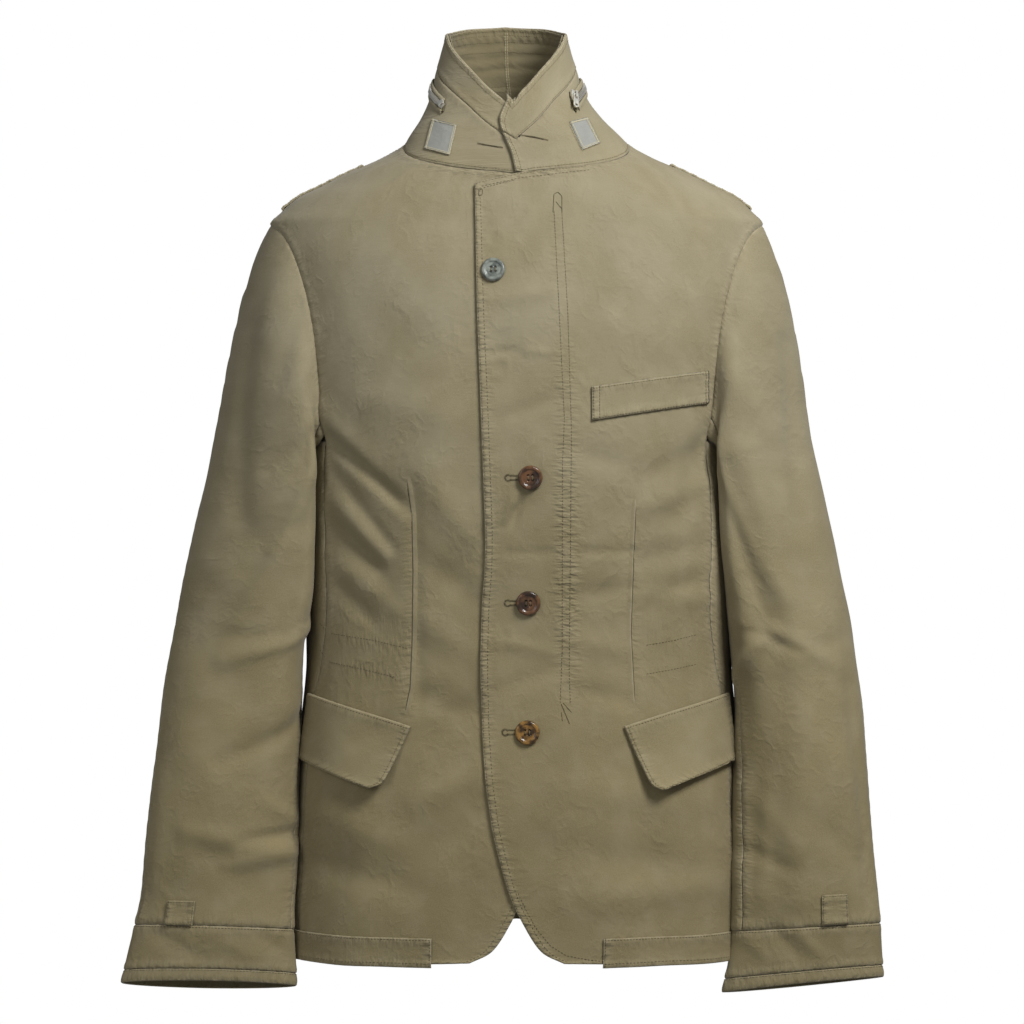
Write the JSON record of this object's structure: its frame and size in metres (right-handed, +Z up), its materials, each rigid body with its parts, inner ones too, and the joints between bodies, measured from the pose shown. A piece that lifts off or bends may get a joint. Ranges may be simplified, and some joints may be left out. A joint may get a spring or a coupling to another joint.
{
  "type": "military blazer",
  "caption": "Single-breasted cotton jacket worn hollow: stand collar with a zip and loop patches, sleeves with deep cuffs, curved hem, chest welt and hip pocket flaps.",
  "frame": {"origin": "between the neck ends of the shoulder seams, where the wearer carries the jacket", "axes": "+Z up, +X towards the wearer's left, front towards -Y"},
  "size_m": [0.6543, 0.2491, 0.848],
  "materials": {
    "cotton_cloth": "brushed cotton twill, matt",
    "loop_tape": "grey loop tape, matt",
    "zip_tape": "woven cotton tape with a metal chain",
    "zip_metal": "nickel-plated, worn satin",
    "horn": "polished brown horn",
    "grey_button": "polished grey resin"
  },
  "bodies": {
    "garment": {"back_left": "cotton_cloth", "back_right": "cotton_cloth", "button_grey": "grey_button", "button_horn_1": "horn", "button_horn_2": "horn", "button_horn_3": "horn", "chest_welt": "cotton_cloth", "collar_inner": "cotton_cloth", "collar_lower": "cotton_cloth", "collar_patch_left": "loop_tape", "collar_patch_right": "loop_tape", "collar_upper": "cotton_cloth", "cuff_band_left": "cotton_cloth", "cuff_band_right": "cotton_cloth", "cuff_left": "cotton_cloth", "cuff_right": "cotton_cloth", "cuff_tab_left": "cotton_cloth", "cuff_tab_right": "cotton_cloth", "epaulette_left": "cotton_cloth", "epaulette_right": "cotton_cloth", "flap_left": "cotton_cloth", "flap_right": "cotton_cloth", "front_left": "cotton_cloth", "front_right": "cotton_cloth", "hem_band_left": "cotton_cloth", "hem_band_right": "cotton_cloth", "side_left": "cotton_cloth", "side_right": "cotton_cloth", "sleeve_under_left": "cotton_cloth", "sleeve_under_right": "cotton_cloth", "sleeve_upper_left": "cotton_cloth", "sleeve_upper_right": "cotton_cloth", "zip_slider": "zip_metal", "zip_stop": "zip_metal", "zip_tape": "zip_tape"},
    "pull": {"zip_pull": "zip_metal"}
  },
  "joints": [
    {"name": "pull_hinge", "type": "hinge", "parent": "garment", "child": "pull", "pos_m": [0.05137, -0.04875, 0.0344], "axis": [-0.8022, -0.517, 0.2987], "range_deg": [0, 150]}
  ]
}
